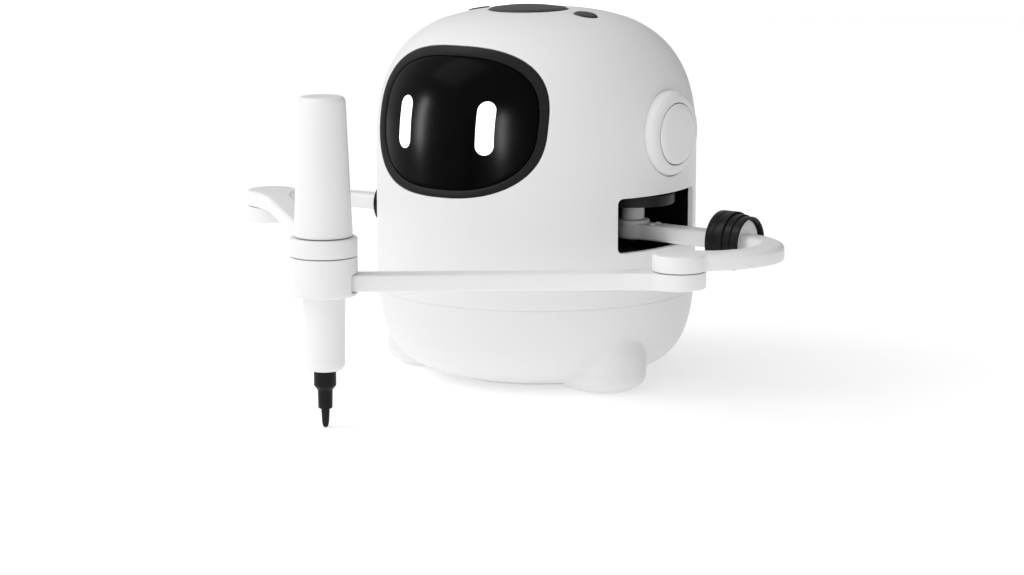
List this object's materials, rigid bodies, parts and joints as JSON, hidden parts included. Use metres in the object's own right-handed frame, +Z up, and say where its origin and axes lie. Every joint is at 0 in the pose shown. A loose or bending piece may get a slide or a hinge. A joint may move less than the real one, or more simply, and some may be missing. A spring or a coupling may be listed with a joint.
{
  "type": "desktop drawing robot",
  "caption": "Round-bodied desktop drawing robot with a lit face, ear caps, and a lifting five-bar arm linkage that holds a removable pen in front.",
  "frame": {"origin": "on the body's axis of revolution, in the plane the robot stands on", "axes": "+Z up, the face looks along -Y, the robot's own left is +X"},
  "size_m": [0.2568, 0.2192, 0.1574],
  "materials": {
    "white_plastic": "satin moulded white",
    "white_arm": "satin moulded white",
    "white_pen": "satin moulded white",
    "black_satin": "fine satin black",
    "black_gloss": "high gloss black",
    "eye_light": "lit diffuser",
    "black_rubber": "matt rubber",
    "black_felt": "inked fibre",
    "dark_grey": "satin dark grey",
    "steel": "plated steel",
    "motor_steel": "pressed can",
    "acetal": "natural acetal",
    "servo_blue": "translucent blue case",
    "board_green": "solder mask",
    "battery_blue": "shrink film",
    "speaker_black": "paper cone and frame"
  },
  "bodies": {
    "body": {"upper_shell": "white_plastic", "lower_shell": "white_plastic", "foot_left": "white_plastic", "foot_right": "white_plastic", "base_plate": "white_plastic", "rubber_pads": "black_rubber", "case_screws": "steel", "bezel": "black_satin", "visor": "black_gloss", "eye_left": "eye_light", "eye_right": "eye_light", "ear_ring_left": "white_plastic", "ear_ring_right": "white_plastic", "ear_cap_left": "white_plastic", "ear_cap_right": "white_plastic", "button_board": "board_green", "slot_liner_left": "black_satin", "slot_liner_right": "black_satin", "chassis": "dark_grey", "guide_rods": "steel", "rod_bridge": "dark_grey", "lift_servo": "servo_blue", "main_board": "board_green", "battery": "battery_blue", "speaker": "speaker_black", "power_inlet": "steel"},
    "lift_pinion": {"lift_pinion": "acetal"},
    "carriage": {"carriage": "dark_grey", "lift_rack": "acetal", "motor_left": "motor_steel", "motor_right": "motor_steel"},
    "left_pinion": {"motor_pinion_left": "dark_grey"},
    "right_pinion": {"motor_pinion_right": "dark_grey"},
    "left_arm": {"shoulder_gear_left": "dark_grey", "shoulder_clip_left": "steel", "arm_inner_left": "white_arm", "cuff_left": "black_satin", "arm_outer_left": "white_arm"},
    "right_arm": {"shoulder_gear_right": "dark_grey", "shoulder_clip_right": "steel", "arm_inner_right": "white_arm", "cuff_right": "black_satin", "arm_outer_right": "white_arm"},
    "left_elbow_pin": {"elbow_pin_left": "steel"},
    "left_forearm": {"forearm_left": "white_arm"},
    "holder": {"pen_sleeve": "white_arm", "pen_collar": "white_arm", "collar_cap": "white_arm"},
    "right_forearm": {"forearm_right": "white_arm", "elbow_pin_right": "steel"},
    "pen": {"pen_barrel": "white_pen", "pen_tail": "white_pen", "nib_holder": "black_satin", "nib": "black_felt"},
    "crown_button": {"crown_button": "black_satin"},
    "left_button": {"side_button_left": "black_satin"},
    "right_button": {"side_button_right": "black_satin"}
  },
  "joints": [
    {"name": "arm_lift", "type": "slide", "parent": "body", "child": "carriage", "axis": [0, 0, 1], "range_m": [0, 0.005]},
    {"name": "lift_pinion_spin", "type": "hinge", "parent": "body", "child": "lift_pinion", "pos_m": [-0.003, 0.0346, 0.07], "axis": [-1, 0, 0], "range_deg": [-1, 61]},
    {"name": "left_shoulder", "type": "hinge", "parent": "carriage", "child": "left_arm", "pos_m": [0.046, 0.006, 0.0647], "axis": [0, 0, 1], "range_deg": [-9, 9]},
    {"name": "right_shoulder", "type": "hinge", "parent": "carriage", "child": "right_arm", "pos_m": [-0.046, 0.006, 0.0647], "axis": [0, 0, 1], "range_deg": [-9, 9]},
    {"name": "left_motor_spin", "type": "hinge", "parent": "carriage", "child": "left_pinion", "pos_m": [0.024, 0.006, 0.083], "axis": [0, 0, 1], "range_deg": [-28, 28]},
    {"name": "right_motor_spin", "type": "hinge", "parent": "carriage", "child": "right_pinion", "pos_m": [-0.024, 0.006, 0.083], "axis": [0, 0, 1], "range_deg": [-28, 28]},
    {"name": "left_elbow", "type": "hinge", "parent": "left_arm", "child": "left_elbow_pin", "pos_m": [0.1066, -0.05, 0.061], "axis": [0, 0, 1], "range_deg": [-9.51, 9.51]},
    {"name": "left_forearm_turn", "type": "hinge", "parent": "left_elbow_pin", "child": "left_forearm", "pos_m": [0.1066, -0.05, 0.0577], "axis": [0, 0, 1], "range_deg": [-5.62, 5.62]},
    {"name": "holder_turn", "type": "hinge", "parent": "left_forearm", "child": "holder", "pos_m": [0, -0.138, 0.0577], "axis": [0, 0, 1], "range_deg": [-5.93, 5.93]},
    {"name": "right_forearm_turn", "type": "hinge", "parent": "holder", "child": "right_forearm", "pos_m": [0, -0.138, 0.0717], "axis": [0, 0, 1], "range_deg": [-5.93, 5.93]},
    {"name": "pen_pull", "type": "slide", "parent": "holder", "child": "pen", "axis": [0, 0, 1], "range_m": [0, 0.06]},
    {"name": "crown_press", "type": "slide", "parent": "body", "child": "crown_button", "axis": [0, 0, -1], "range_m": [0, 0.001], "stiffness_N_per_m": 1500, "springref_m": -0.0005},
    {"name": "left_press", "type": "slide", "parent": "body", "child": "left_button", "axis": [0, 0, -1], "range_m": [0, 0.001], "stiffness_N_per_m": 1000, "springref_m": -0.0005},
    {"name": "right_press", "type": "slide", "parent": "body", "child": "right_button", "axis": [0, 0, -1], "range_m": [0, 0.001], "stiffness_N_per_m": 1000, "springref_m": -0.0005}
  ],
  "couplings": [
    {"joint": "lift_pinion_spin", "follows": "arm_lift", "rad_per_m": 208.33},
    {"joint": "left_motor_spin", "follows": "left_shoulder", "ratio": -3},
    {"joint": "right_motor_spin", "follows": "right_shoulder", "ratio": -3},
    {"joint": "left_elbow", "follows": "left_shoulder", "ratio": -1.0339},
    {"joint": "left_forearm_turn", "follows": "right_shoulder", "ratio": 0.6024},
    {"joint": "holder_turn", "follows": "left_shoulder", "ratio": 0.6363},
    {"joint": "right_forearm_turn", "follows": "right_shoulder", "ratio": -0.6363}
  ]
}
